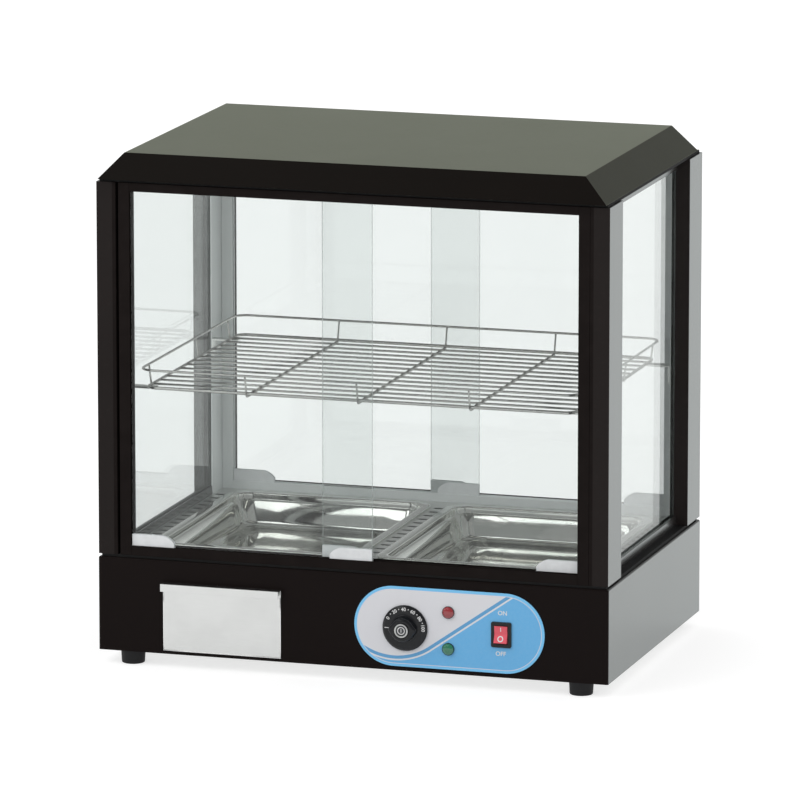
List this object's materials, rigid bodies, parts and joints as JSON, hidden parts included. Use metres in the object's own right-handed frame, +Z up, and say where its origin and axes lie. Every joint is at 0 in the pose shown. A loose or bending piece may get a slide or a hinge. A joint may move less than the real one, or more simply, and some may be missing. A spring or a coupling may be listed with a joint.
{
  "type": "food warmer cabinet",
  "caption": "Glazed countertop food warmer with sliding doors front and back, wire shelf, two pans, water drawer and a control panel.",
  "frame": {"origin": "centre of the footprint, at the level of the rubber feet", "axes": "+X to the right along the width, +Y from the control panel to the back, +Z up"},
  "size_m": [0.64, 0.458, 0.6263],
  "materials": {
    "black_steel": "gloss black-brown powder coat",
    "black_extrusion": "satin dark brown powder-coated extrusion",
    "lid_paint": "semi-gloss dark coat",
    "stainless": "polished stainless sheet",
    "zinc": "zinc-plated steel",
    "wire_chrome": "bright plated wire",
    "rubber": "black rubber",
    "clear_glass": "clear tempered glass",
    "white_plastic": "white moulded plastic",
    "black_plastic": "black moulded plastic",
    "seam_black": "black foam strip",
    "panel_blue": "printed blue panel film",
    "red_plastic": "red translucent plastic",
    "green_plastic": "green translucent plastic",
    "heater_steel": "oxidised steel tube",
    "lamp_glass": "frosted lamp glass",
    "dull_plastic": "pale moulded insulator"
  },
  "bodies": {
    "root": {"base_shell": "black_steel", "bottom_plate": "zinc", "feet": "rubber", "foot_screws": "zinc", "deck_plate": "stainless", "drawer_runners": "zinc", "panel_plate": "panel_blue", "thermostat_body": "dull_plastic", "lamp_bodies": "black_plastic", "red_lens": "red_plastic", "green_lens": "green_plastic", "switch_housing": "black_plastic", "heater_rails": "zinc", "heating_elements": "heater_steel", "sensor_bulb": "zinc", "terminal_block": "dull_plastic", "cable_gland": "black_plastic", "gland_nut": "black_plastic", "plinth_strips": "seam_black", "top_strips": "seam_black", "post_front_left": "black_extrusion", "post_front_right": "black_extrusion", "post_back_left": "black_extrusion", "post_back_right": "black_extrusion", "post_bolts": "zinc", "side_pane_left": "clear_glass", "side_pane_right": "clear_glass", "side_sills": "black_extrusion", "side_heads": "black_extrusion", "shelf_brackets": "stainless", "lid_shell": "lid_paint", "ceiling_liner": "stainless", "lamp_batten": "dull_plastic", "lamp_holders": "white_plastic", "lamp_tube": "lamp_glass", "front_stiles": "black_extrusion", "front_sill": "black_extrusion", "front_head": "black_extrusion", "back_stiles": "black_extrusion", "back_sill": "black_extrusion", "back_head": "black_extrusion"},
    "front_outer_door": {"front_outer_door_pane": "clear_glass", "front_outer_door_shoes": "white_plastic"},
    "front_inner_door": {"front_inner_door_pane": "clear_glass", "front_inner_door_shoes": "white_plastic"},
    "back_outer_door": {"back_outer_door_pane": "clear_glass", "back_outer_door_shoes": "white_plastic"},
    "back_inner_door": {"back_inner_door_pane": "clear_glass", "back_inner_door_shoes": "white_plastic"},
    "knob": {"thermostat_knob": "black_plastic", "knob_cap": "stainless", "thermostat_shaft": "zinc"},
    "rocker": {"switch_rocker": "red_plastic"},
    "water_drawer": {"drawer_front": "stainless", "drawer_tray": "stainless"},
    "pan_left": {"pan_left": "stainless"},
    "pan_right": {"pan_right": "stainless"},
    "shelf": {"shelf_floor": "wire_chrome", "shelf_guard": "wire_chrome"}
  },
  "joints": [
    {"name": "front_outer_door_slide", "type": "slide", "parent": "root", "child": "front_outer_door", "axis": [1, 0, 0], "range_m": [0, 0.25]},
    {"name": "front_inner_door_slide", "type": "slide", "parent": "root", "child": "front_inner_door", "axis": [-1, 0, 0], "range_m": [0, 0.225]},
    {"name": "back_outer_door_slide", "type": "slide", "parent": "root", "child": "back_outer_door", "axis": [-1, 0, 0], "range_m": [0, 0.25]},
    {"name": "back_inner_door_slide", "type": "slide", "parent": "root", "child": "back_inner_door", "axis": [1, 0, 0], "range_m": [0, 0.225]},
    {"name": "knob_turn", "type": "hinge", "parent": "root", "child": "knob", "pos_m": [0.0687, -0.2105, 0.0702], "axis": [0, 1, 0], "range_deg": [0, 300]},
    {"name": "rocker_tip", "type": "hinge", "parent": "root", "child": "rocker", "pos_m": [0.1884, -0.2105, 0.0698], "axis": [1, 0, 0], "range_deg": [0, 18]},
    {"name": "drawer_slide", "type": "slide", "parent": "root", "child": "water_drawer", "axis": [0, -1, 0], "range_m": [0, 0.15]},
    {"name": "pan_left_lift", "type": "slide", "parent": "root", "child": "pan_left", "axis": [0, 0, 1], "range_m": [0, 0.08]},
    {"name": "pan_right_lift", "type": "slide", "parent": "root", "child": "pan_right", "axis": [0, 0, 1], "range_m": [0, 0.08]},
    {"name": "shelf_lift", "type": "slide", "parent": "root", "child": "shelf", "axis": [0, 0, 1], "range_m": [0, 0.05]}
  ]
}
